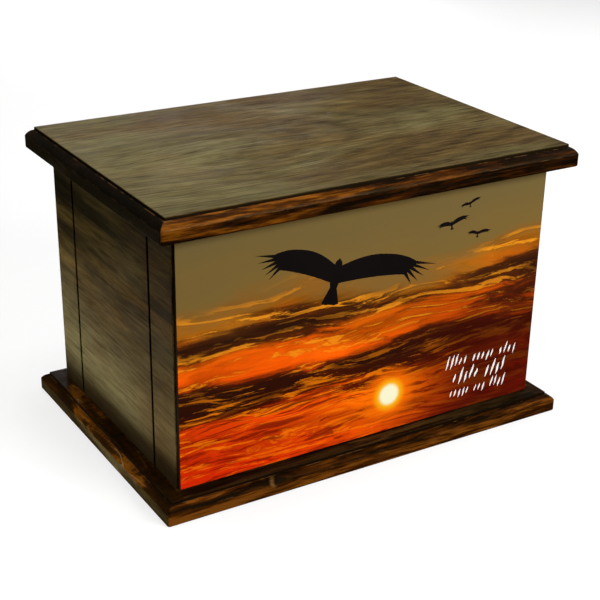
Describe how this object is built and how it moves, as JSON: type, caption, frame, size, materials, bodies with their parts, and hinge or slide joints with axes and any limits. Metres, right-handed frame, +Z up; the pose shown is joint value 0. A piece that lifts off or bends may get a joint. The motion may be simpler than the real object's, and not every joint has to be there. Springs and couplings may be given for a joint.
{
  "type": "cremation urn box",
  "caption": "Rectangular wooden urn box with grooved sides, a printed picture panel over its front, a moulded base board and a moulded lift-off lid, hollow inside for ashes.",
  "frame": {"origin": "middle of the base board's underside", "axes": "+Z up, +X to the right seen from the front, +Y to the rear, so the picture faces -Y"},
  "size_m": [0.2746, 0.19, 0.1768],
  "materials": {
    "moulded_wood": "dark walnut stain under satin lacquer, warmer and glossier on the moulded edges",
    "wall_wood": "dark walnut stain under satin lacquer, with blackened grooves",
    "picture_print": "printed plate with a soft gloss and dark edges"
  },
  "bodies": {
    "root": {"base_board": "moulded_wood", "lid_board": "moulded_wood", "left_side_board": "wall_wood", "right_side_board": "wall_wood", "front_board": "wall_wood", "back_board": "wall_wood", "picture_panel": "picture_print"}
  },
  "joints": []
}
